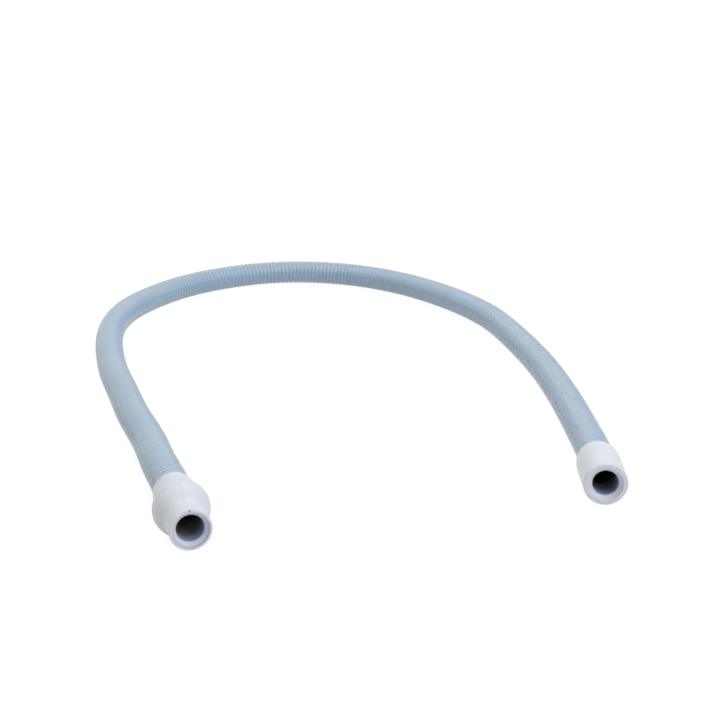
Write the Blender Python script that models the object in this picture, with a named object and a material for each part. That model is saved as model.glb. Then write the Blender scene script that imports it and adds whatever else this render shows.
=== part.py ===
"""Drain hose of a tumble dryer's pump: a corrugated hose with a moulded cuff on each end.

The hose lies in a loop on the plane z = 0, with both mouths towards -Y. Metres, +Z up.
One blown hose and two turned cuffs: each hose end is seated in the rear socket of its cuff.
"""
import math

import bmesh
import bpy
import numpy as np

MM = 0.001

# Hose
HOSE_OUTER_DIAMETER = 24.0 * MM
RIB_DEPTH = 0.7 * MM
HOSE_WALL = 1.0 * MM
RIB_PITCH = 4.5 * MM

# Bulb cuff, from its mouth to its rear edge
BULB_FRONT_LENGTH = 31.0 * MM
BULB_REAR_LENGTH = 27.6 * MM
BULB_MOUTH_WALL = 4.4 * MM
BULB_STANDOUT = 5.5 * MM
BULB_ARC_RADIUS = 21.0 * MM
BULB_COLLAR_FLARE = 2.0 * MM
BULB_EDGE_STEP = 0.25 * MM
BULB_EDGE_LEAD = 0.8 * MM
BULB_RIM_WIDTH = 1.8 * MM

# Plain cuff, from its mouth to its rear edge
PLAIN_TAPER_LENGTH = 26.0 * MM
PLAIN_BARREL_LENGTH = 7.0 * MM
PLAIN_SHOULDER_LENGTH = 9.3 * MM
PLAIN_MOUTH_WALL = 5.6 * MM
PLAIN_BODY_WALL = 2.2 * MM
PLAIN_RIM_WIDTH = 3.0 * MM

# Both cuffs
BORE_DIAMETER = 16.6 * MM
MOUTH_CHAMFER_DEPTH = 3.0 * MM
MOUTH_STEP_DEPTH = 0.5 * MM
EDGE_RADIUS = 0.7 * MM
REAR_LIP_WALL = 0.7 * MM
SOCKET_DEPTH = 20.0 * MM
FIT_CLEARANCE = 0.3 * MM

# Mesh fineness
HOSE_SIDES = 8
CUFF_SIDES = 40
BULB_FRONT_STEPS = 8
BULB_REAR_STEPS = 6
SHOULDER_STEPS = 5
EDGE_STEPS = 4
BORE_STATION_SPACING = 16.0 * MM
CURVE_SPACING = 2.0 * MM

# Radii and lengths that follow from those above
HOSE_RADIUS = HOSE_OUTER_DIAMETER / 2
SOCKET_RADIUS = HOSE_RADIUS + FIT_CLEARANCE
REAR_RADIUS = SOCKET_RADIUS + REAR_LIP_WALL
BORE_RADIUS = BORE_DIAMETER / 2
BULB_CUFF_LENGTH = BULB_FRONT_LENGTH + BULB_REAR_LENGTH
BULB_MOUTH_RADIUS = BORE_RADIUS + BULB_MOUTH_WALL
BULB_RADIUS = HOSE_RADIUS + BULB_STANDOUT
PLAIN_CUFF_LENGTH = PLAIN_TAPER_LENGTH + PLAIN_BARREL_LENGTH + PLAIN_SHOULDER_LENGTH
PLAIN_MOUTH_RADIUS = BORE_RADIUS + PLAIN_MOUTH_WALL
PLAIN_BODY_RADIUS = SOCKET_RADIUS + PLAIN_BODY_WALL

# The loop in plan, whole millimetres, from the rear edge of the bulb cuff to that of the plain cuff
ROUTE_MM = [
    (-79, -285), (-96, -235), (-112, -184), (-131, -135), (-148, -85), (-165, -35), (-179, 16),
    (-190, 68), (-195, 121), (-190, 173), (-173, 223), (-146, 269), (-108, 305), (-61, 328),
    (-9, 329), (40, 310), (81, 277), (114, 236), (141, 190), (161, 141), (173, 90), (182, 38),
    (189, -15), (193, -68), (195, -120), (195, -173), (194, -226),
]
BULB_CUFF_HEADING = math.radians(18.3)
PLAIN_CUFF_HEADING = math.radians(-3.1)
RISE_LENGTH = 120.0 * MM


def clean_scene():
    """Empties the scene, so that a second run starts afresh."""
    for thing in list(bpy.data.objects):
        bpy.data.objects.remove(thing, do_unlink=True)


def material(name, colour, roughness):
    """A plain Principled material."""
    made = bpy.data.materials.new(name)
    made.use_nodes = True
    shader = made.node_tree.nodes["Principled BSDF"]
    shader.inputs["Base Color"].default_value = (*colour, 1.0)
    shader.inputs["Roughness"].default_value = roughness
    shader.inputs["Metallic"].default_value = 0.0
    made.diffuse_color = (*colour, 1.0)
    return made


def add_object(name, mesh, finish):
    """Links a mesh to the scene as a smooth-shaded object."""
    mesh.shade_smooth()
    mesh.set_sharp_from_angle(angle=math.radians(35))
    mesh.materials.append(finish)
    made = bpy.data.objects.new(name, mesh)
    bpy.context.scene.collection.objects.link(made)
    return made


def smoothstep(t):
    """0 below t = 0, 1 above t = 1, and level at both ends."""
    t = np.clip(t, 0.0, 1.0)
    return t * t * (3.0 - 2.0 * t)


def heading_vector(heading):
    """The level direction out of a cuff's mouth: towards -Y, turned by heading towards +X."""
    return np.array([math.sin(heading), -math.cos(heading), 0.0])


def smooth_curve(points, first_tangent, last_tangent, spacing):
    """Cubic spline through points, with given unit tangents at its ends, read every spacing."""
    points = np.array(points, float)
    chord = np.linalg.norm(np.diff(points, axis=0), axis=1)
    knots = np.concatenate([[0.0], np.cumsum(chord)])
    count = len(points)
    system = np.zeros((count, count))
    right = np.zeros((count, points.shape[1]))
    system[0, 0] = system[-1, -1] = 1.0
    right[0], right[-1] = first_tangent, last_tangent
    for i in range(1, count - 1):
        before, after = chord[i - 1], chord[i]
        system[i, i - 1 : i + 2] = after, 2.0 * (before + after), before
        slope_before = (points[i] - points[i - 1]) / before
        slope_after = (points[i + 1] - points[i]) / after
        right[i] = 3.0 * (after * slope_before + before * slope_after)
    tangents = np.linalg.solve(system, right)
    steps = max(2, round(knots[-1] / spacing))
    read = np.linspace(0.0, knots[-1], steps + 1)
    i = np.clip(np.searchsorted(knots, read, side="right") - 1, 0, count - 2)
    width = chord[i][:, None]
    t = (read - knots[i])[:, None] / width
    start, end = points[i], points[i + 1]
    pull_start, pull_end = tangents[i] * width, tangents[i + 1] * width
    return (
        (2 * t**3 - 3 * t**2 + 1) * start
        + (t**3 - 2 * t**2 + t) * pull_start
        + (3 * t**2 - 2 * t**3) * end
        + (t**3 - t**2) * pull_end
    )


def arc_lengths(line):
    """Distance along a line of points, from its first point."""
    return np.concatenate([[0.0], np.cumsum(np.linalg.norm(np.diff(line, axis=0), axis=1))])


def hose_centreline():
    """Fine centreline of the hose, from its seat in the bulb cuff to its seat in the plain cuff.

    It lies on the floor, rises gently to each cuff's axis and is straight inside the cuffs.
    """
    to_bulb = heading_vector(BULB_CUFF_HEADING)
    to_plain = heading_vector(PLAIN_CUFF_HEADING)
    plan = smooth_curve(np.array(ROUTE_MM) * MM, -to_bulb[:2], to_plain[:2], CURVE_SPACING)
    along = arc_lengths(plan)
    bulb_lift = max(BULB_RADIUS, BULB_MOUTH_RADIUS) - HOSE_RADIUS
    plain_lift = max(PLAIN_BODY_RADIUS, PLAIN_MOUTH_RADIUS) - HOSE_RADIUS
    near_bulb = 1.0 - smoothstep(along / RISE_LENGTH)
    near_plain = 1.0 - smoothstep((along[-1] - along) / RISE_LENGTH)
    height = HOSE_RADIUS + bulb_lift * near_bulb + plain_lift * near_plain
    line = np.column_stack([plan, height])
    bulb_seat = line[0] + to_bulb * SOCKET_DEPTH
    plain_seat = line[-1] + to_plain * SOCKET_DEPTH
    return np.vstack([bulb_seat, line, plain_seat])


def read_line(line, places):
    """Points and unit tangents of a line at given distances along it."""
    along = arc_lengths(line)
    points = np.stack([np.interp(places, along, line[:, k]) for k in range(3)], axis=1)
    ahead = np.stack([np.interp(places + CURVE_SPACING, along, line[:, k]) for k in range(3)], axis=1)
    behind = np.stack([np.interp(places - CURVE_SPACING, along, line[:, k]) for k in range(3)], axis=1)
    tangents = ahead - behind
    return points, tangents / np.linalg.norm(tangents, axis=1)[:, None]


def rings_along(points, tangents, radii, sides):
    """One ring of points about each point of a line, square to it, with a corner lowest."""
    side = np.cross(tangents, [0.0, 0.0, 1.0])
    side /= np.linalg.norm(side, axis=1)[:, None]
    up = np.cross(side, tangents)
    turn = np.arange(sides) * 2.0 * math.pi / sides
    spokes = side[:, None] * np.cos(turn)[:, None] + up[:, None] * np.sin(turn)[:, None]
    return points[:, None] + np.asarray(radii)[:, None, None] * spokes


def add_rings(bm, rings):
    """Adds rings of vertices to a mesh and joins each to the next with faces."""
    made = [[bm.verts.new(point) for point in ring] for ring in rings]
    for first, second in zip(made, made[1:]):
        for k in range(len(first)):
            j = (k + 1) % len(first)
            bm.faces.new((first[k], first[j], second[j], second[k]))
    return made


def close_ring(bm, outer, inner):
    """Joins the last outer ring to the inner ring beside it, as the annular end of the hose."""
    for k in range(len(outer)):
        j = (k + 1) % len(outer)
        bm.faces.new((outer[k], outer[j], inner[j], inner[k]))


def corrugated_hose(finish):
    """The blown hose: crests and roots one after the other outside, a smooth bore inside."""
    line = hose_centreline()
    length = arc_lengths(line)[-1]
    ribs = max(2, round(length / RIB_PITCH))
    outer_places = np.linspace(0.0, length, 2 * ribs + 1)
    root = HOSE_RADIUS - RIB_DEPTH
    outer_radii = np.where(np.arange(2 * ribs + 1) % 2 == 0, root, HOSE_RADIUS)
    bore_steps = max(2, round(length / BORE_STATION_SPACING))
    bore_places = np.linspace(0.0, length, bore_steps + 1)
    bore_radii = np.full(bore_steps + 1, root - HOSE_WALL)
    bm = bmesh.new()
    outer = add_rings(bm, rings_along(*read_line(line, outer_places), outer_radii, HOSE_SIDES))
    inner = add_rings(bm, rings_along(*read_line(line, bore_places), bore_radii, HOSE_SIDES))
    close_ring(bm, outer[0], inner[0])
    close_ring(bm, outer[-1], inner[-1])
    bmesh.ops.recalc_face_normals(bm, faces=bm.faces)
    mesh = bpy.data.meshes.new("corrugated_hose")
    bm.to_mesh(mesh)
    bm.free()
    return add_object("corrugated_hose", mesh, finish)


def cuff_inside(length, mouth_radius, rim_width):
    """Inside of a cuff from its rear to its mouth: socket, seat, bore and chamfered mouth."""
    seat = length - SOCKET_DEPTH - FIT_CLEARANCE
    mouth = mouth_radius - rim_width
    return [
        (SOCKET_RADIUS, length),
        (SOCKET_RADIUS, seat),
        (BORE_RADIUS, seat),
        (BORE_RADIUS, MOUTH_CHAMFER_DEPTH + MOUTH_STEP_DEPTH),
        (mouth, MOUTH_STEP_DEPTH),
        (mouth, 0.0),
    ]


def rounded_rim(radius):
    """Quarter round from the flat of the mouth to the outside, at the mouth's edge."""
    turn = np.linspace(0.0, math.pi / 2, EDGE_STEPS + 1)
    centre = radius - EDGE_RADIUS
    return list(zip(centre + EDGE_RADIUS * np.sin(turn), EDGE_RADIUS * (1.0 - np.cos(turn))))


def bulb_outside():
    """Outside of the bulb cuff from mouth to rear: straight nose, round bulb and flared collar.

    The bulb is one arc, and a small step just before its crest makes its front part slimmer.
    """
    collar = REAR_RADIUS + BULB_COLLAR_FLARE
    front_crest = BULB_RADIUS - BULB_EDGE_STEP
    nose_drop = BULB_ARC_RADIUS - (front_crest - BULB_MOUTH_RADIUS)
    collar_drop = BULB_ARC_RADIUS - (BULB_RADIUS - collar)
    nose_reach = math.sqrt(BULB_ARC_RADIUS**2 - nose_drop**2)
    collar_reach = math.sqrt(BULB_ARC_RADIUS**2 - collar_drop**2)
    front = np.linspace(-nose_reach, -BULB_EDGE_LEAD, BULB_FRONT_STEPS + 1)
    rear = np.append(-BULB_EDGE_LEAD, np.linspace(0.0, collar_reach, BULB_REAR_STEPS + 1))
    outline = rounded_rim(BULB_MOUTH_RADIUS)
    for offsets, crest in ((front, front_crest), (rear, BULB_RADIUS)):
        radii = crest - BULB_ARC_RADIUS + np.sqrt(BULB_ARC_RADIUS**2 - offsets**2)
        outline += list(zip(radii, BULB_FRONT_LENGTH + offsets))
    outline += [(REAR_RADIUS, BULB_CUFF_LENGTH)]
    return outline


def plain_outside():
    """Outside of the plain cuff from mouth to rear: a slight barrel with a rounded shoulder."""
    turn = np.linspace(0.0, math.pi / 2, SHOULDER_STEPS + 1)
    drop = PLAIN_BODY_RADIUS - REAR_RADIUS
    shoulder_start = PLAIN_CUFF_LENGTH - PLAIN_SHOULDER_LENGTH
    shoulder_radii = REAR_RADIUS + drop * np.cos(turn)
    shoulder_places = shoulder_start + PLAIN_SHOULDER_LENGTH * np.sin(turn)
    outline = rounded_rim(PLAIN_MOUTH_RADIUS)
    outline += [(PLAIN_BODY_RADIUS, PLAIN_TAPER_LENGTH)]
    outline += list(zip(shoulder_radii, shoulder_places))
    return outline


def turned_cuff(name, outside, inside, mouth, heading, finish):
    """Spins the closed outline about the cuff's axis and sets its mouth at its place."""
    outline = outside + inside
    outward = heading_vector(heading)
    side = np.cross(outward, [0.0, 0.0, 1.0])
    bm = bmesh.new()
    verts = []
    for radius, place in outline:
        verts.append(bm.verts.new(mouth - outward * place + side * radius))
    edges = [bm.edges.new((verts[k], verts[(k + 1) % len(verts)])) for k in range(len(verts))]
    bmesh.ops.spin(
        bm,
        geom=verts + edges,
        cent=mouth,
        axis=outward,
        angle=2.0 * math.pi,
        steps=CUFF_SIDES,
        use_merge=True,
    )
    bmesh.ops.recalc_face_normals(bm, faces=bm.faces)
    mesh = bpy.data.meshes.new(name)
    bm.to_mesh(mesh)
    bm.free()
    return add_object(name, mesh, finish)


def build():
    """Makes the hose and its two cuffs."""
    clean_scene()
    hose_plastic = material("hose_plastic", (0.41, 0.55, 0.65), 0.42)
    cuff_rubber = material("cuff_rubber", (0.78, 0.79, 0.85), 0.5)
    corrugated_hose(hose_plastic)
    line = hose_centreline()
    to_bulb = heading_vector(BULB_CUFF_HEADING)
    to_plain = heading_vector(PLAIN_CUFF_HEADING)
    bulb_mouth = line[0] + to_bulb * (BULB_CUFF_LENGTH - SOCKET_DEPTH)
    plain_mouth = line[-1] + to_plain * (PLAIN_CUFF_LENGTH - SOCKET_DEPTH)
    bulb_inside = cuff_inside(BULB_CUFF_LENGTH, BULB_MOUTH_RADIUS, BULB_RIM_WIDTH)
    plain_inside = cuff_inside(PLAIN_CUFF_LENGTH, PLAIN_MOUTH_RADIUS, PLAIN_RIM_WIDTH)
    turned_cuff("bulb_cuff", bulb_outside(), bulb_inside, bulb_mouth, BULB_CUFF_HEADING, cuff_rubber)
    turned_cuff("plain_cuff", plain_outside(), plain_inside, plain_mouth, PLAIN_CUFF_HEADING, cuff_rubber)


build()
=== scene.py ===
"""Looks of a tumble dryer's drain hose: a ribbed grey-blue hose with a soft pale cuff on each end.

Metres, in the solids' own frame: the hose lies in a loop on the plane z = 0, mouths towards -Y.
"""
import math

import bpy
import numpy as np
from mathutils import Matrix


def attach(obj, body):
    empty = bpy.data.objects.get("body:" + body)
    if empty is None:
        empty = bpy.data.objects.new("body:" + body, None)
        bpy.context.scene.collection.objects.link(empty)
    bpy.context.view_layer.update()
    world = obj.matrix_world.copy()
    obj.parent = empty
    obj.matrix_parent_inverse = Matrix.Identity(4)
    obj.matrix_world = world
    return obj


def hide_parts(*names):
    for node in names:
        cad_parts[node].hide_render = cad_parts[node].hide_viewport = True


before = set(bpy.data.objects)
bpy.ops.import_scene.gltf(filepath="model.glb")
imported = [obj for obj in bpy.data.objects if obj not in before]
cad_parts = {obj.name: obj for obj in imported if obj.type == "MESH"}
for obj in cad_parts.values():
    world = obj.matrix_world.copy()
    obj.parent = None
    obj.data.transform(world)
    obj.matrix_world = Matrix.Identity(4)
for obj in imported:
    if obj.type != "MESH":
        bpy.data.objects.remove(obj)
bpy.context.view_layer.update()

MM = 0.001

# Hose, as in the solids
HOSE_RADIUS = 12.0 * MM
RIB_DEPTH = 0.7 * MM
RIB_PITCH = 4.5 * MM
HOSE_WALL = 1.0 * MM
SOCKET_DEPTH = 20.0 * MM
FIT_CLEARANCE = 0.3 * MM

# Bulb cuff, as in the solids
BULB_FRONT_LENGTH = 31.0 * MM
BULB_CUFF_LENGTH = 58.6 * MM
BULB_MOUTH_RADIUS = 12.7 * MM
BULB_RADIUS = 17.5 * MM
BULB_ARC_RADIUS = 21.0 * MM
BULB_COLLAR_RADIUS = 15.0 * MM
BULB_EDGE_STEP = 0.25 * MM
BULB_EDGE_LEAD = 0.8 * MM
BULB_RIM_WIDTH = 1.8 * MM

# Plain cuff, as in the solids
PLAIN_TAPER_LENGTH = 26.0 * MM
PLAIN_BARREL_LENGTH = 7.0 * MM
PLAIN_CUFF_LENGTH = 42.3 * MM
PLAIN_MOUTH_RADIUS = 13.9 * MM
PLAIN_RADIUS = 14.5 * MM
PLAIN_RIM_WIDTH = 3.0 * MM

# Both cuffs, as in the solids
BORE_RADIUS = 8.3 * MM
SOCKET_RADIUS = 12.3 * MM
REAR_RADIUS = 13.0 * MM
MOUTH_CHAMFER_DEPTH = 3.0 * MM
MOUTH_STEP_DEPTH = 0.5 * MM
EDGE_RADIUS = 0.7 * MM

# How finely the surfaces are divided
HOSE_SIDES = 36
HOSE_INNER_STEPS = 71
CUFF_SIDES = 144
BULB_OUTSIDE_POINTS = 96
PLAIN_OUTSIDE_POINTS = 80
OUTLINE_SPACING = 1.6 * MM
CLOSE_POINTS = 13

# Ribs: the rings' shares of one pitch, how full a crest is, and how many ribs show inside each end
RIB_PHASES = np.array([0.0, 0.09, 0.15, 0.30, 0.50, 0.70, 0.85, 0.91])
CREST_FULLNESS = 2.2
SHOWN_INNER_RIBS = 14

# Finer shapes of the cuffs that only the surfaces have
FINE_RADIUS = 0.25 * MM
STEP_FOOT_RADIUS = 0.12 * MM
BORE_EDGE_RADIUS = 0.4 * MM
LIP_CLEARANCE = 0.08 * MM
LIP_LENGTH = 1.5 * MM
LIP_ROUNDING = 0.35 * MM
MOUTH_BAND = 1.6 * MM
NOSE_JOIN = 0.8 * MM
COLLAR_JOIN = 0.5 * MM
EDGE_STEP_WIDTH = 0.4 * MM
EDGE_STEP_REACH = 0.3 * MM

# Mould seam of the bulb cuff, and the nicks where it meets the rim
SEAM_HEIGHT = 0.07 * MM
SEAM_WIDTH = 0.35 * MM
SEAM_SPREAD = 1.5 * SEAM_WIDTH
# How dark the painted shade along the seam's bead is; the nicks get painted shade in full
SEAM_SHADE = 0.17
SEAM_TURN = math.radians(87.0)
SEAM_START = 4.0 * MM
SEAM_FADE_IN = 12.0 * MM
SEAM_FADE_OUT = 1.0 * MM
NICK_DEPTH = 0.6 * MM
NICK_WIDTH = 0.55 * MM
NICK_INNER_RADIUS = 11.5 * MM

# Painted shade on the surfaces: the line at the mouth's step, and the shade in the bore and the socket
STEP_LINE_WIDTH = 0.35 * MM
BORE_SHADE_DEPTH = 12.0 * MM
SOCKET_SHADE_START = 20.0 * MM
GRAIN_DEPTH = 0.03 * MM

# The loop in plan, whole millimetres, from the rear edge of the bulb cuff to that of the plain cuff
ROUTE_MM = [
    (-79, -285), (-96, -235), (-112, -184), (-131, -135), (-148, -85), (-165, -35), (-179, 16),
    (-190, 68), (-195, 121), (-190, 173), (-173, 223), (-146, 269), (-108, 305), (-61, 328),
    (-9, 329), (40, 310), (81, 277), (114, 236), (141, 190), (161, 141), (173, 90), (182, 38),
    (189, -15), (193, -68), (195, -120), (195, -173), (194, -226),
]
BULB_CUFF_HEADING = math.radians(18.3)
PLAIN_CUFF_HEADING = math.radians(-3.1)
RISE_LENGTH = 120.0 * MM
CURVE_SPACING = 2.0 * MM

# Camera: the photograph's height, tilt and lens
CAMERA_PLACE = (36.1 * MM, -959.8 * MM, 314.2 * MM)
CAMERA_TILT = math.radians(17.42)
CAMERA_LENS = 59.3
SENSOR_WIDTH = 36.0
CAMERA_REACH = 200.0

# Surroundings: how bright they are as light on the object, then the floor as light and as seen
AMBIENT_LEVEL = 0.03
WHITE = (1.0, 1.0, 1.0, 1.0)
FLOOR_REACH = 60.0
FLOOR_COLOUR = (0.86, 0.86, 0.87, 1.0)
FLOOR_ROUGHNESS = 0.9
FLOOR_GLOW = 0.915
SHADOW_COLOUR = (0.18, 0.18, 0.18, 1.0)


def smoothstep(t):
    """0 below t = 0, 1 above t = 1, and level at both ends: 3 t^2 - 2 t^3 between."""
    t = np.clip(t, 0.0, 1.0)
    return t * t * (3.0 - 2.0 * t)


def soft_max(a, b, join):
    """The larger of a and b with a round join: join * log(exp(a / join) + exp(b / join))."""
    return join * np.logaddexp(a / join, b / join)


def heading_vector(heading):
    """The level direction out of a cuff's mouth: towards -Y, turned by heading towards +X.

    That is (sin(heading), -cos(heading), 0).
    """
    return np.array([math.sin(heading), -math.cos(heading), 0.0])


def arc_lengths(line):
    """Distance along a line of points, from its first point."""
    return np.concatenate([[0.0], np.cumsum(np.linalg.norm(np.diff(line, axis=0), axis=1))])


def smooth_curve(points, first_tangent, last_tangent, spacing):
    """Cubic spline through points, with given unit tangents at its ends, read every spacing.

    Each stretch is the cubic that its end points and end tangents give, with t from 0 to 1 along
    it. The inner tangents are the ones at which the second derivative doesn't jump.
    """
    knots = arc_lengths(points)
    chord = np.diff(knots)
    count = len(points)
    system = np.zeros((count, count))
    right = np.zeros((count, points.shape[1]))
    system[0, 0] = system[-1, -1] = 1.0
    right[0], right[-1] = first_tangent, last_tangent
    for i in range(1, count - 1):
        before, after = chord[i - 1], chord[i]
        system[i, i - 1 : i + 2] = after, 2.0 * (before + after), before
        slope_before = (points[i] - points[i - 1]) / before
        slope_after = (points[i + 1] - points[i]) / after
        right[i] = 3.0 * (after * slope_before + before * slope_after)
    tangents = np.linalg.solve(system, right)
    steps = max(2, round(knots[-1] / spacing))
    read = np.linspace(0.0, knots[-1], steps + 1)
    i = np.clip(np.searchsorted(knots, read, side="right") - 1, 0, count - 2)
    width = chord[i][:, None]
    t = (read - knots[i])[:, None] / width
    start, end = points[i], points[i + 1]
    pull_start, pull_end = tangents[i] * width, tangents[i + 1] * width
    return (
        (2 * t**3 - 3 * t**2 + 1) * start
        + (t**3 - 2 * t**2 + t) * pull_start
        + (3 * t**2 - 2 * t**3) * end
        + (t**3 - t**2) * pull_end
    )


def hose_centreline():
    """The hose's centreline from seat to seat: flat on the floor, lifted gently to each cuff.

    The lift is the cuff's radius less the hose's, times a smoothstep over RISE_LENGTH.
    """
    to_bulb = heading_vector(BULB_CUFF_HEADING)
    to_plain = heading_vector(PLAIN_CUFF_HEADING)
    plan = smooth_curve(np.array(ROUTE_MM) * MM, -to_bulb[:2], to_plain[:2], CURVE_SPACING)
    along = arc_lengths(plan)
    near_bulb = 1.0 - smoothstep(along / RISE_LENGTH)
    near_plain = 1.0 - smoothstep((along[-1] - along) / RISE_LENGTH)
    bulb_lift = BULB_RADIUS - HOSE_RADIUS
    plain_lift = PLAIN_RADIUS - HOSE_RADIUS
    line = np.column_stack([plan, HOSE_RADIUS + bulb_lift * near_bulb + plain_lift * near_plain])
    bulb_seat = line[0] + to_bulb * SOCKET_DEPTH
    plain_seat = line[-1] + to_plain * SOCKET_DEPTH
    return np.vstack([bulb_seat, line, plain_seat])


def read_line(line, places):
    """Points and unit tangents of a line at given distances along it.

    A tangent is the difference of the points one CURVE_SPACING after and before, made unit.
    """
    along = arc_lengths(line)

    def at(where):
        return np.stack([np.interp(where, along, line[:, k]) for k in range(3)], axis=1)

    tangents = at(places + CURVE_SPACING) - at(places - CURVE_SPACING)
    return at(places), tangents / np.linalg.norm(tangents, axis=1)[:, None]


def rings_along(line, places, radii, sides):
    """Grid of rings: ring i is square to the line at places[i], with radius radii[i].

    Each point is the line's point + radius * (cos(turn) * side + sin(turn) * up).
    """
    points, tangents = read_line(line, places)
    side = np.cross(tangents, [0.0, 0.0, 1.0])
    side /= np.linalg.norm(side, axis=1)[:, None]
    up = np.cross(side, tangents)
    turn = np.arange(sides) * 2.0 * math.pi / sides
    spokes = side[:, None] * np.cos(turn)[:, None] + up[:, None] * np.sin(turn)[:, None]
    return points[:, None] + radii[:, None, None] * spokes


def closed_grid(name, grid, turns, along, masks):
    """Closed mesh from a grid of rings: each ring joins the next, and the last joins the first.

    turns is each spoke's share of the full turn, and along each ring's distance in metres. They
    make the UV map. masks holds point attributes by name, with one value a ring or a point.
    """
    rings, sides = grid.shape[:2]
    ring = np.arange(rings)[:, None]
    spoke = np.arange(sides)[None, :]
    next_ring, next_spoke = (ring + 1) % rings, (spoke + 1) % sides
    corners = [(ring, spoke), (ring, next_spoke), (next_ring, next_spoke), (next_ring, spoke)]
    faces = np.stack([a * sides + b for a, b in corners], axis=-1).reshape(-1, 4)
    mesh = bpy.data.meshes.new(name)
    mesh.from_pydata(grid.reshape(-1, 3), [], faces)
    after = np.append(turns[1:], turns[0] + 1.0)
    around = np.broadcast_to(np.stack([turns, after, after, turns], axis=-1), (rings, sides, 4))
    place = np.stack([along, along, np.roll(along, -1), np.roll(along, -1)], axis=-1)
    place = np.broadcast_to(place[:, None, :], (rings, sides, 4))
    uv = mesh.uv_layers.new(name="UVMap")
    uv.data.foreach_set("uv", np.stack([around, place], axis=-1).astype(np.float32).ravel())
    for mask_name, values in masks.items():
        mask = mesh.attributes.new(mask_name, "FLOAT", "POINT")
        values = np.broadcast_to(np.reshape(values, (rings, -1)), (rings, sides))
        mask.data.foreach_set("value", values.astype(np.float32).ravel())
    mesh.shade_smooth()
    mesh.update()
    return mesh


def add_piece(mesh, finish, node):
    """Adds a mesh as a piece that stands for one solid."""
    piece = bpy.data.objects.new(mesh.name, mesh)
    bpy.context.scene.collection.objects.link(piece)
    mesh.materials.append(finish)
    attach(piece, "root")
    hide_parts(node)
    return piece


def ribbed_hose(line, finish):
    """The blown hose as one closed wall.

    Outside, one pitch is a flat root and a round crest: with u running from -1 to 1 across the
    crest, its height is depth * (1 - |u|^fullness)^(1/2). Inside, the wall follows the ribs near
    both ends, where the bores show it, and is plain in between. Shade is painted into the rib
    roots, and dark shade over the whole inside wall.
    """
    length = arc_lengths(line)[-1]
    ribs = round(length / RIB_PITCH)
    pitch = length / ribs
    across = np.clip((RIB_PHASES - 0.5) / (0.5 - RIB_PHASES[1]), -1.0, 1.0)
    rise = np.sqrt(1.0 - np.abs(across) ** CREST_FULLNESS)
    root = HOSE_RADIUS - RIB_DEPTH
    outer_places = np.append(((np.arange(ribs)[:, None] + RIB_PHASES) * pitch).ravel(), length)
    outer_rise = np.append(np.tile(rise, ribs), 0.0)
    shown = np.arange(2 * SHOWN_INNER_RIBS + 1)
    steps = shown * pitch / 2
    middle = np.linspace(steps[-1], length - steps[-1], HOSE_INNER_STEPS + 1)[1:-1]
    inner_places = np.concatenate([steps, middle, length - steps[::-1]])
    inner_rise = np.concatenate([shown % 2, np.full(len(middle), 0.5), shown % 2])
    places = np.concatenate([outer_places, inner_places[::-1]])
    radii = np.concatenate([
        root + RIB_DEPTH * outer_rise,
        root - HOSE_WALL + RIB_DEPTH * inner_rise[::-1],
    ])
    # Painted shade over the whole inside wall
    inside = np.concatenate([np.zeros(len(outer_places)), np.ones(len(inner_places))])
    # Painted shade in the rib roots: darker where the crest's rise is lower
    painted_shade = np.concatenate([1.0 - outer_rise, np.zeros(len(inner_places))])
    grid = rings_along(line, places, radii, HOSE_SIDES)
    turns = np.arange(HOSE_SIDES) / HOSE_SIDES
    mesh = closed_grid("ribbed_hose", grid, turns, places, {"painted_shade": painted_shade, "inside": inside})
    return add_piece(mesh, finish, "corrugated_hose")


def straight_run(start, end):
    """Points between two points, closest together at both ends: shares (1 - cos) / 2."""
    count = max(3, math.ceil(math.dist(start, end) / OUTLINE_SPACING) + 2)
    shares = (1.0 - np.cos(np.linspace(0.0, math.pi, count + 1))) / 2.0
    return np.array(start) + shares[:, None] * (np.array(end) - np.array(start))


def rounded_corner(before, corner, after, radius, steps=6):
    """Arc of a given radius that touches both sides of a corner of the outline.

    Its points turn evenly from start to end: (start sin(sweep - t) + end sin(t)) / sin(sweep).
    """
    before, corner, after = (np.array(point, float) for point in (before, corner, after))
    to_before = (before - corner) / np.linalg.norm(before - corner)
    to_after = (after - corner) / np.linalg.norm(after - corner)
    half = math.acos(np.clip(to_before @ to_after, -1.0, 1.0)) / 2.0
    middle = (to_before + to_after) / np.linalg.norm(to_before + to_after)
    centre = corner + middle * radius / math.sin(half)
    start = corner + to_before * radius / math.tan(half) - centre
    end = corner + to_after * radius / math.tan(half) - centre
    sweep = math.pi - 2.0 * half
    t = np.linspace(0.0, sweep, steps + 1)[:, None]
    return centre + (start * np.sin(sweep - t) + end * np.sin(t)) / math.sin(sweep)


def rounded_outline(corners):
    """Open outline through corners (radius, place, rounding), with each inner corner rounded."""
    parts = [[corners[0][:2]]]
    for before, corner, after in zip(corners, corners[1:], corners[2:]):
        arc = rounded_corner(before[:2], corner[:2], after[:2], corner[2])
        parts += [straight_run(parts[-1][-1], arc[0])[1:-1], arc]
    parts.append(straight_run(parts[-1][-1], corners[-1][:2])[1:])
    return np.vstack(parts)


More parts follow.
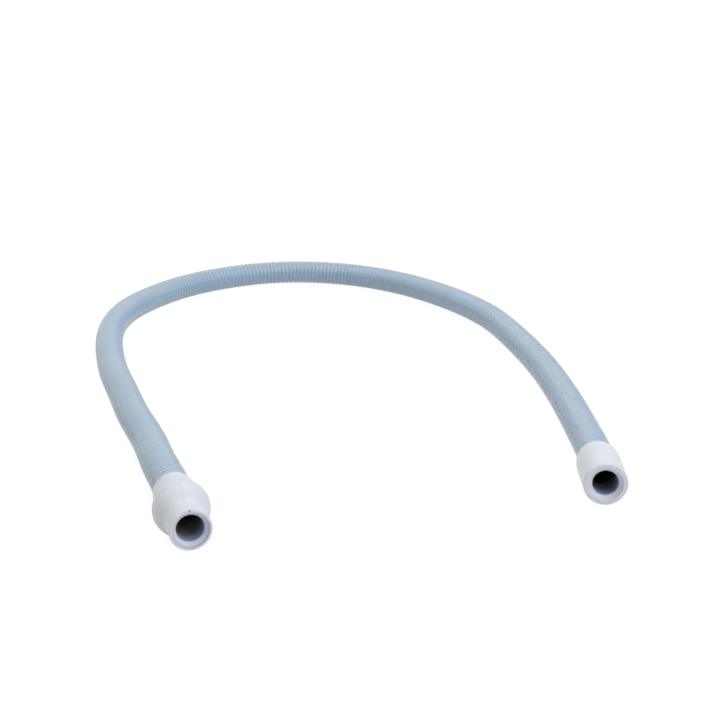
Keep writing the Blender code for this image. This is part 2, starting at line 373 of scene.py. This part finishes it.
def cuff_inside(length, mouth_radius, rim_width):
    """Inside of a cuff from its rear lip to its mouth: socket, seat, bore, funnel and rim.

    It ends on the outside, MOUTH_BAND behind the mouth, where the outside's own outline starts.
    """
    seat = length - SOCKET_DEPTH - FIT_CLEARANCE
    mouth = mouth_radius - rim_width
    lip = HOSE_RADIUS + LIP_CLEARANCE
    funnel_end = MOUTH_CHAMFER_DEPTH + MOUTH_STEP_DEPTH
    return rounded_outline([
        (REAR_RADIUS, length - LIP_LENGTH, 0.0),
        (REAR_RADIUS, length, LIP_ROUNDING),
        (lip, length, LIP_ROUNDING),
        (lip, length - LIP_LENGTH, FINE_RADIUS),
        (SOCKET_RADIUS, length - 2.0 * LIP_LENGTH, FINE_RADIUS),
        (SOCKET_RADIUS, seat, FINE_RADIUS),
        (BORE_RADIUS, seat, FINE_RADIUS),
        (BORE_RADIUS, funnel_end, BORE_EDGE_RADIUS),
        (mouth, MOUTH_STEP_DEPTH, STEP_FOOT_RADIUS),
        (mouth, 0.0, FINE_RADIUS),
        (mouth_radius, 0.0, EDGE_RADIUS),
        (mouth_radius, MOUTH_BAND, 0.0),
    ])


def bulb_outside():
    """Outside of the bulb cuff, as radius over distance from the mouth.

    Nose and collar are straight, and the bulb is a circle's arc: crest - R + (R^2 - d^2)^(1/2) at
    distance d from the crest. They join softly. A small step before the crest makes the front
    slimmer than the rear.
    """
    edge = BULB_FRONT_LENGTH - BULB_EDGE_LEAD
    even = np.linspace(MOUTH_BAND, BULB_CUFF_LENGTH - LIP_LENGTH, BULB_OUTSIDE_POINTS)
    close = edge + np.linspace(-EDGE_STEP_REACH, EDGE_STEP_REACH, CLOSE_POINTS)
    places = np.union1d(even, close)
    offset = places - BULB_FRONT_LENGTH
    arc = np.sqrt(np.maximum(BULB_ARC_RADIUS**2 - offset**2, 0.0)) - BULB_ARC_RADIUS
    front = soft_max(BULB_MOUTH_RADIUS, BULB_RADIUS - BULB_EDGE_STEP + arc, NOSE_JOIN)
    drop = BULB_RADIUS - BULB_COLLAR_RADIUS
    collar_start = BULB_FRONT_LENGTH + math.sqrt(2.0 * drop * BULB_ARC_RADIUS - drop**2)
    slope = (BULB_COLLAR_RADIUS - REAR_RADIUS) / (BULB_CUFF_LENGTH - collar_start)
    collar = REAR_RADIUS + slope * (BULB_CUFF_LENGTH - places)
    rear = soft_max(np.where(offset < 0.0, 0.0, collar), BULB_RADIUS + arc, COLLAR_JOIN)
    passed = smoothstep((places - edge) / EDGE_STEP_WIDTH + 0.5)
    return np.column_stack([front + (rear - front) * passed, places])


def plain_outside():
    """Outside of the plain cuff, as radius over distance from the mouth.

    A slight taper to the barrel, and a shoulder that drops as a quarter of an ellipse.
    """
    places = np.linspace(MOUTH_BAND, PLAIN_CUFF_LENGTH - LIP_LENGTH, PLAIN_OUTSIDE_POINTS)
    flare = (PLAIN_RADIUS - PLAIN_MOUTH_RADIUS) * smoothstep(0.5 + 0.5 * places / PLAIN_TAPER_LENGTH)
    shoulder_start = PLAIN_TAPER_LENGTH + PLAIN_BARREL_LENGTH
    fall = np.clip((places - shoulder_start) / (PLAIN_CUFF_LENGTH - shoulder_start), 0.0, 1.0)
    drop = (PLAIN_RADIUS - REAR_RADIUS) * (1.0 - np.sqrt(1.0 - fall**2))
    return np.column_stack([PLAIN_MOUTH_RADIUS + flare - drop, places])


def seam_turns(sides):
    """Shares of the turn for a cuff's spokes: even steps, and close ones across both seams."""
    even = np.arange(sides) / sides
    close = np.linspace(-SEAM_SPREAD, SEAM_SPREAD, CLOSE_POINTS) / BULB_RADIUS / (2.0 * math.pi)
    seams = SEAM_TURN / (2.0 * math.pi) + np.array([0.0, 0.5])
    return np.union1d(even, (seams[:, None] + close).ravel() % 1.0)


def seam_relief(outline, is_inside, angle, seam_reach):
    """The mould seam's height over a cuff's surface, and the shade painted along it.

    A bead runs over the part of the outside that seam_reach gives, with height
    exp(-(distance / width)^2), and a nick of the same form is cut in the rim on its line. Both
    get painted shade: the bead lightly, the nick fully.
    """
    radius, place = outline.T
    from_seam = np.abs((angle - SEAM_TURN + math.pi / 2) % math.pi - math.pi / 2)
    across = radius[:, None] * from_seam[None, :]
    on_seam = ~is_inside * smoothstep((place - seam_reach[0]) / SEAM_FADE_IN)
    on_seam = on_seam * smoothstep((seam_reach[1] - place) / SEAM_FADE_OUT)
    on_rim = (place < MOUTH_BAND / 2) * smoothstep((radius - NICK_INNER_RADIUS) / FINE_RADIUS)
    bead = on_seam[:, None] * np.exp(-(across / SEAM_WIDTH) ** 2)
    nick = on_rim[:, None] * np.exp(-(across / NICK_WIDTH) ** 2)
    return SEAM_HEIGHT * bead - NICK_DEPTH * nick, SEAM_SHADE * bead + nick


def outline_normals(outline):
    """Unit normals of a closed outline: the line between both neighbours, turned a quarter."""
    forward = np.roll(outline, -1, axis=0) - np.roll(outline, 1, axis=0)
    normal = np.column_stack([forward[:, 1], -forward[:, 0]])
    return normal / np.linalg.norm(normal, axis=1)[:, None]


def cuff_masks(outline, is_inside, seam_shade, step_shade):
    """Point attributes of a cuff, both painted shade: painted_shade for dark lines, inside for its bore
    and socket.

    The painted shade line at the foot of the mouth's step is as dark as step_shade, and fades with
    distance as exp(-(distance / width)^2).
    """
    radius, place = outline.T
    step_radius = radius[is_inside & (place < MOUTH_STEP_DEPTH)].min()
    from_step = np.hypot(radius - step_radius, place - MOUTH_STEP_DEPTH)
    # Painted shade: a dark line at the foot of the mouth's step
    step_line = is_inside * np.exp(-(from_step / STEP_LINE_WIDTH) ** 2)
    depth = place - MOUTH_CHAMFER_DEPTH - MOUTH_STEP_DEPTH
    # Painted shade in the bore and socket, darker further in
    in_bore = radius < BORE_RADIUS + FINE_RADIUS
    in_socket = (depth > SOCKET_SHADE_START) & (place < place.max() - LIP_LENGTH)
    bored = is_inside & (in_bore | in_socket)
    return {
        "painted_shade": np.maximum(seam_shade, step_shade * step_line[:, None]),
        "inside": np.where(bored, 0.5 + 0.5 * smoothstep(depth / BORE_SHADE_DEPTH), 0.0),
    }


def moulded_cuff(name, outside, inside, mouth, heading, seam_reach, step_shade):
    """A cuff's mesh as one closed turned surface: its outline swept about its axis.

    Each point is mouth - place * outward + radius * (cos(angle) * side + sin(angle) * up), after
    the seam's relief has moved it along the outline's normal. mouth is the middle of the front
    face. seam_reach is the part of the outside that shows a mould seam, or None if it is smooth.
    """
    outline = np.vstack([outside, inside[:-1]])
    is_inside = np.arange(len(outline)) >= len(outside)
    turns = seam_turns(CUFF_SIDES)
    angle = 2.0 * math.pi * turns
    lift = seam_shade = np.zeros((len(outline), len(turns)))
    if seam_reach:
        lift, seam_shade = seam_relief(outline, is_inside, angle, seam_reach)
    normal = outline_normals(outline)
    radii = outline[:, :1] + lift * normal[:, :1]
    places = outline[:, 1:] + lift * normal[:, 1:]
    outward = heading_vector(heading)
    side = np.cross(outward, [0.0, 0.0, 1.0])
    spokes = np.cos(angle)[:, None] * side + np.sin(angle)[:, None] * [0.0, 0.0, 1.0]
    grid = mouth - places[..., None] * outward + radii[..., None] * spokes[None, :]
    masks = cuff_masks(outline, is_inside, seam_shade, step_shade)
    return closed_grid(name, grid, turns, arc_lengths(outline), masks)


def both_cuffs(line, finish):
    """The bulb cuff and the plain cuff. Each mouth lies one cuff length out from its rear edge."""
    bulb_mouth = line[1] + heading_vector(BULB_CUFF_HEADING) * BULB_CUFF_LENGTH
    plain_mouth = line[-2] + heading_vector(PLAIN_CUFF_HEADING) * PLAIN_CUFF_LENGTH
    bulb_end = moulded_cuff(
        "bulb_end_cuff",
        outside=bulb_outside(),
        inside=cuff_inside(BULB_CUFF_LENGTH, BULB_MOUTH_RADIUS, BULB_RIM_WIDTH),
        mouth=bulb_mouth,
        heading=BULB_CUFF_HEADING,
        seam_reach=(SEAM_START, BULB_FRONT_LENGTH - BULB_EDGE_LEAD),
        step_shade=0.8,
    )
    plain_end = moulded_cuff(
        "plain_end_cuff",
        outside=plain_outside(),
        inside=cuff_inside(PLAIN_CUFF_LENGTH, PLAIN_MOUTH_RADIUS, PLAIN_RIM_WIDTH),
        mouth=plain_mouth,
        heading=PLAIN_CUFF_HEADING,
        seam_reach=None,
        step_shade=0.25,
    )
    bulb_cuff = add_piece(bulb_end, finish, "bulb_cuff")
    plain_cuff = add_piece(plain_end, finish, "plain_cuff")
    return bulb_cuff, plain_cuff


def add_node(tree, kind, inputs=(), **settings):
    """Adds a shader node, sets its properties, and fills or links its inputs by name or number."""
    made = tree.nodes.new(kind)
    for name, value in settings.items():
        setattr(made, name, value)
    for key, value in dict(inputs).items():
        if isinstance(value, bpy.types.NodeSocket):
            tree.links.new(value, made.inputs[key])
        else:
            made.inputs[key].default_value = value
    return made


def mix_colour(tree, factor, first, second):
    """Output of a Mix node in colour mode, whose inputs 0, 6 and 7 are factor, A and B."""
    return add_node(tree, "ShaderNodeMix", {0: factor, 6: first, 7: second}, data_type="RGBA").outputs[2]


def seen_directly(tree):
    """Output that is 1 for camera and mirror rays, and 0 for the rays that light the object."""
    rays = add_node(tree, "ShaderNodeLightPath").outputs
    kinds = {0: rays["Is Camera Ray"], 1: rays["Is Glossy Ray"]}
    return add_node(tree, "ShaderNodeMath", kinds, operation="MAXIMUM").outputs[0]


def moulded_skin_group():
    """Group for blown and moulded plastic: cloudy colour, uneven gloss and a fine grain.

    Two noises on Object coordinates: a large one drifts the colour from Colour to Tint, and a
    small one moves the roughness by Spread about its middle and makes the height of the grain.
    """
    group = bpy.data.node_groups.new("moulded_skin", "ShaderNodeTree")
    sockets = (
        ("Colour", "INPUT", "NodeSocketColor"), ("Tint", "INPUT", "NodeSocketColor"),
        ("Cloud Scale", "INPUT", "NodeSocketFloat"), ("Grain Scale", "INPUT", "NodeSocketFloat"),
        ("Roughness", "INPUT", "NodeSocketFloat"), ("Spread", "INPUT", "NodeSocketFloat"),
        ("Colour", "OUTPUT", "NodeSocketColor"), ("Roughness", "OUTPUT", "NodeSocketFloat"),
        ("Grain", "OUTPUT", "NodeSocketFloat"),
    )
    for name, direction, kind in sockets:
        group.interface.new_socket(name, in_out=direction, socket_type=kind)
    inlet = add_node(group, "NodeGroupInput").outputs
    place = add_node(group, "ShaderNodeTexCoord").outputs["Object"]
    cloud = add_node(
        group, "ShaderNodeTexNoise",
        {"Vector": place, "Scale": inlet["Cloud Scale"], "Detail": 4.0, "Roughness": 0.55},
    )
    drift = add_node(
        group, "ShaderNodeMapRange",
        {"Value": cloud.outputs["Fac"], "From Min": 0.32, "From Max": 0.68},
        interpolation_type="SMOOTHSTEP",
    )
    colour = mix_colour(group, drift.outputs["Result"], inlet["Colour"], inlet["Tint"])
    grain = add_node(
        group, "ShaderNodeTexNoise",
        {"Vector": place, "Scale": inlet["Grain Scale"], "Detail": 5.0, "Roughness": 0.6},
    )
    centred = add_node(group, "ShaderNodeMath", {0: grain.outputs["Fac"], 1: 0.5}, operation="SUBTRACT")
    rough = add_node(
        group, "ShaderNodeMath",
        {0: centred.outputs[0], 1: inlet["Spread"], 2: inlet["Roughness"]},
        operation="MULTIPLY_ADD",
    )
    add_node(
        group, "NodeGroupOutput",
        {"Colour": colour, "Roughness": rough.outputs[0], "Grain": grain.outputs["Fac"]},
    )
    return group


def recess_shade_group():
    """Group that paints shade into hollows and bores, from point attributes painted_shade and inside.

    painted_shade turns the colour to Groove Shade Colour. inside turns it to Bore Shade Edge over
    its first half, and to Bore Shade Deep over its second: painted shade, darker deeper in.
    """
    group = bpy.data.node_groups.new("recess_shade", "ShaderNodeTree")
    for name in ("Colour", "Groove Shade Colour", "Bore Shade Edge", "Bore Shade Deep"):
        group.interface.new_socket(name, in_out="INPUT", socket_type="NodeSocketColor")
    group.interface.new_socket("Colour", in_out="OUTPUT", socket_type="NodeSocketColor")
    inlet = add_node(group, "NodeGroupInput").outputs
    painted_shade = add_node(group, "ShaderNodeAttribute", attribute_name="painted_shade").outputs["Fac"]
    inside = add_node(group, "ShaderNodeAttribute", attribute_name="inside").outputs["Fac"]
    first = add_node(group, "ShaderNodeMapRange", {"Value": inside, "From Max": 0.5})
    second = add_node(group, "ShaderNodeMapRange", {"Value": inside, "From Min": 0.5})
    # Painted shade: grooves, lines and nicks darkened, then bores darker with depth
    grooved = mix_colour(group, painted_shade, inlet["Colour"], inlet["Groove Shade Colour"])
    edged = mix_colour(group, first.outputs["Result"], grooved, inlet["Bore Shade Edge"])
    deep = mix_colour(group, second.outputs["Result"], edged, inlet["Bore Shade Deep"])
    add_node(group, "NodeGroupOutput", {"Colour": deep})
    return group


def new_material(name, shader_values):
    """A new material with its node tree, and its Principled shader set to the given values."""
    made = bpy.data.materials.new(name)
    made.use_nodes = True
    shader = made.node_tree.nodes["Principled BSDF"]
    for key, value in shader_values.items():
        shader.inputs[key].default_value = value
    return made, made.node_tree, shader


def moulded_finish(name, skin, recess_shade, skin_values, shade_values, shader_values):
    """A moulded plastic: the skin group feeds colour, roughness and bump, and the recess shade group
    paints shade into the colour.
    """
    made, tree, shader = new_material(name, shader_values)
    surface = add_node(tree, "ShaderNodeGroup", skin_values, node_tree=skin)
    shaded = add_node(tree, "ShaderNodeGroup", shade_values, node_tree=recess_shade)
    tree.links.new(surface.outputs["Colour"], shaded.inputs["Colour"])
    bump = add_node(
        tree, "ShaderNodeBump",
        {"Strength": 1.0, "Distance": GRAIN_DEPTH, "Height": surface.outputs["Grain"]},
    )
    tree.links.new(shaded.outputs["Colour"], shader.inputs["Base Color"])
    tree.links.new(surface.outputs["Roughness"], shader.inputs["Roughness"])
    tree.links.new(bump.outputs["Normal"], shader.inputs["Normal"])
    return made


def make_hose_plastic(skin, recess_shade):
    """Light grey-blue hose plastic with a soft gloss, and painted shade in the rib roots and inside."""
    return moulded_finish(
        "hose_plastic", skin, recess_shade,
        {
            "Colour": (0.28, 0.388, 0.492, 1.0), "Tint": (0.30, 0.413, 0.512, 1.0),
            "Cloud Scale": 28.0, "Grain Scale": 900.0, "Roughness": 0.42, "Spread": 0.3,
        },
        {
            "Groove Shade Colour": (0.266, 0.369, 0.472, 1.0), "Bore Shade Edge": (0.20, 0.21, 0.23, 1.0),
            "Bore Shade Deep": (0.18, 0.18, 0.19, 1.0),
        },
        {"Coat Weight": 1.0, "Coat Roughness": 0.2, "Sheen Weight": 0.8, "Sheen Roughness": 0.2},
    )


def make_cuff_rubber(skin, recess_shade):
    """Soft off-white cuff rubber, matt, with painted shade inside the bore, bluish near its mouth and
    darker deeper in.
    """
    return moulded_finish(
        "cuff_rubber", skin, recess_shade,
        {
            "Colour": (0.76, 0.77, 0.83, 1.0), "Tint": (0.79, 0.79, 0.81, 1.0),
            "Cloud Scale": 60.0, "Grain Scale": 1400.0, "Roughness": 0.5, "Spread": 0.25,
        },
        {
            "Groove Shade Colour": (0.26, 0.28, 0.34, 1.0), "Bore Shade Edge": (0.36, 0.44, 0.62, 1.0),
            "Bore Shade Deep": (0.23, 0.21, 0.20, 1.0),
        },
        {"Sheen Weight": 0.05, "Sheen Roughness": 0.4},
    )


def make_floor():
    """Pale floor: white to the camera, with a faint shadow, and a plain pale surface to light."""
    mesh = bpy.data.meshes.new("floor")
    corners = [(x * FLOOR_REACH, y * FLOOR_REACH, 0.0) for x, y in ((-1, -1), (1, -1), (1, 1), (-1, 1))]
    mesh.from_pydata(corners, [], [(0, 1, 2, 3)])
    floor = bpy.data.objects.new("floor", mesh)
    bpy.context.scene.collection.objects.link(floor)
    made, tree, shader = new_material(
        "floor_white", {"Base Color": FLOOR_COLOUR, "Roughness": FLOOR_ROUGHNESS},
    )
    shadowed = add_node(tree, "ShaderNodeBsdfDiffuse", {"Color": SHADOW_COLOUR})
    glow = add_node(tree, "ShaderNodeEmission", {"Color": WHITE, "Strength": FLOOR_GLOW})
    seen = add_node(tree, "ShaderNodeAddShader", {0: shadowed.outputs[0], 1: glow.outputs[0]})
    either = add_node(
        tree, "ShaderNodeMixShader",
        {0: seen_directly(tree), 1: shader.outputs[0], 2: seen.outputs[0]},
    )
    tree.links.new(either.outputs[0], tree.nodes["Material Output"].inputs["Surface"])
    mesh.materials.append(made)


def make_camera():
    """Camera at the photograph's viewing angle."""
    data = bpy.data.cameras.new("camera")
    data.lens = CAMERA_LENS
    data.sensor_width = SENSOR_WIDTH
    data.clip_end = CAMERA_REACH
    camera = bpy.data.objects.new("camera", data)
    camera.location = CAMERA_PLACE
    camera.rotation_euler = (math.pi / 2 - CAMERA_TILT, 0.0, 0.0)
    bpy.context.scene.collection.objects.link(camera)
    bpy.context.scene.camera = camera


def aimed_lamp(data, azimuth, elevation, distance=1.0):
    """A lamp that shines at the origin from a direction, and stands at a distance from it.

    azimuth turns from +Y towards +X, and elevation rises from the floor, both in degrees.
    """
    lamp = bpy.data.objects.new(data.name, data)
    across, up = math.radians(azimuth), math.radians(elevation)
    level = distance * math.cos(up)
    lamp.location = (level * math.sin(across), level * math.cos(across), distance * math.sin(up))
    lamp.rotation_euler = (math.pi / 2 - up, 0.0, math.pi - across)
    bpy.context.scene.collection.objects.link(lamp)


def soft_sun(name, azimuth, elevation, spread, strength, colour):
    """A far softbox: a sun that looks spread degrees wide from the object."""
    data = bpy.data.lights.new(name, "SUN")
    data.angle = math.radians(spread)
    data.energy = strength
    data.color = colour
    aimed_lamp(data, azimuth, elevation)


def soft_panel(name, azimuth, elevation, distance, size, power, colour):
    """A near softbox: a round panel of a given size in metres and power in watts."""
    data = bpy.data.lights.new(name, "AREA")
    data.shape = "DISK"
    data.size = size
    data.energy = power
    data.color = colour
    aimed_lamp(data, azimuth, elevation, distance)


def make_light():
    """Dim even surroundings, three far softboxes, and near panels above and front right."""
    world = bpy.data.worlds.new("studio")
    world.use_nodes = True
    tree = world.node_tree
    level = add_node(
        tree, "ShaderNodeMapRange",
        {"Value": seen_directly(tree), "To Min": AMBIENT_LEVEL, "To Max": 1.0},
    )
    background = tree.nodes["Background"]
    tree.links.new(level.outputs["Result"], background.inputs["Strength"])
    background.inputs["Color"].default_value = WHITE
    bpy.context.scene.world = world
    soft_sun("key", azimuth=135.0, elevation=45.0, spread=60.0, strength=1.3, colour=(0.83, 0.90, 1.0))
    soft_sun(
        "rear_light", azimuth=0.0, elevation=45.0, spread=60.0, strength=0.34, colour=(1.0, 0.9, 0.88),
    )
    soft_sun(
        "left_fill", azimuth=282.0, elevation=40.0, spread=64.0, strength=0.79, colour=(0.96, 1.0, 0.96),
    )
    soft_panel(
        "near_key", azimuth=133.0, elevation=38.0, distance=1.3, size=0.6, power=2.6,
        colour=(0.95, 0.95, 1.0),
    )
    soft_panel(
        "overhead", azimuth=0.0, elevation=86.4, distance=0.8, size=1.0, power=2.9,
        colour=(0.93, 0.98, 1.0),
    )


def main():
    bpy.context.scene.view_settings.view_transform = "Standard"
    make_camera()
    make_light()
    make_floor()
    skin, recess_shade = moulded_skin_group(), recess_shade_group()
    hose_plastic, cuff_rubber = make_hose_plastic(skin, recess_shade), make_cuff_rubber(skin, recess_shade)
    line = hose_centreline()
    hose = ribbed_hose(line, hose_plastic)
    bulb_cuff, plain_cuff = both_cuffs(line, cuff_rubber)


main()
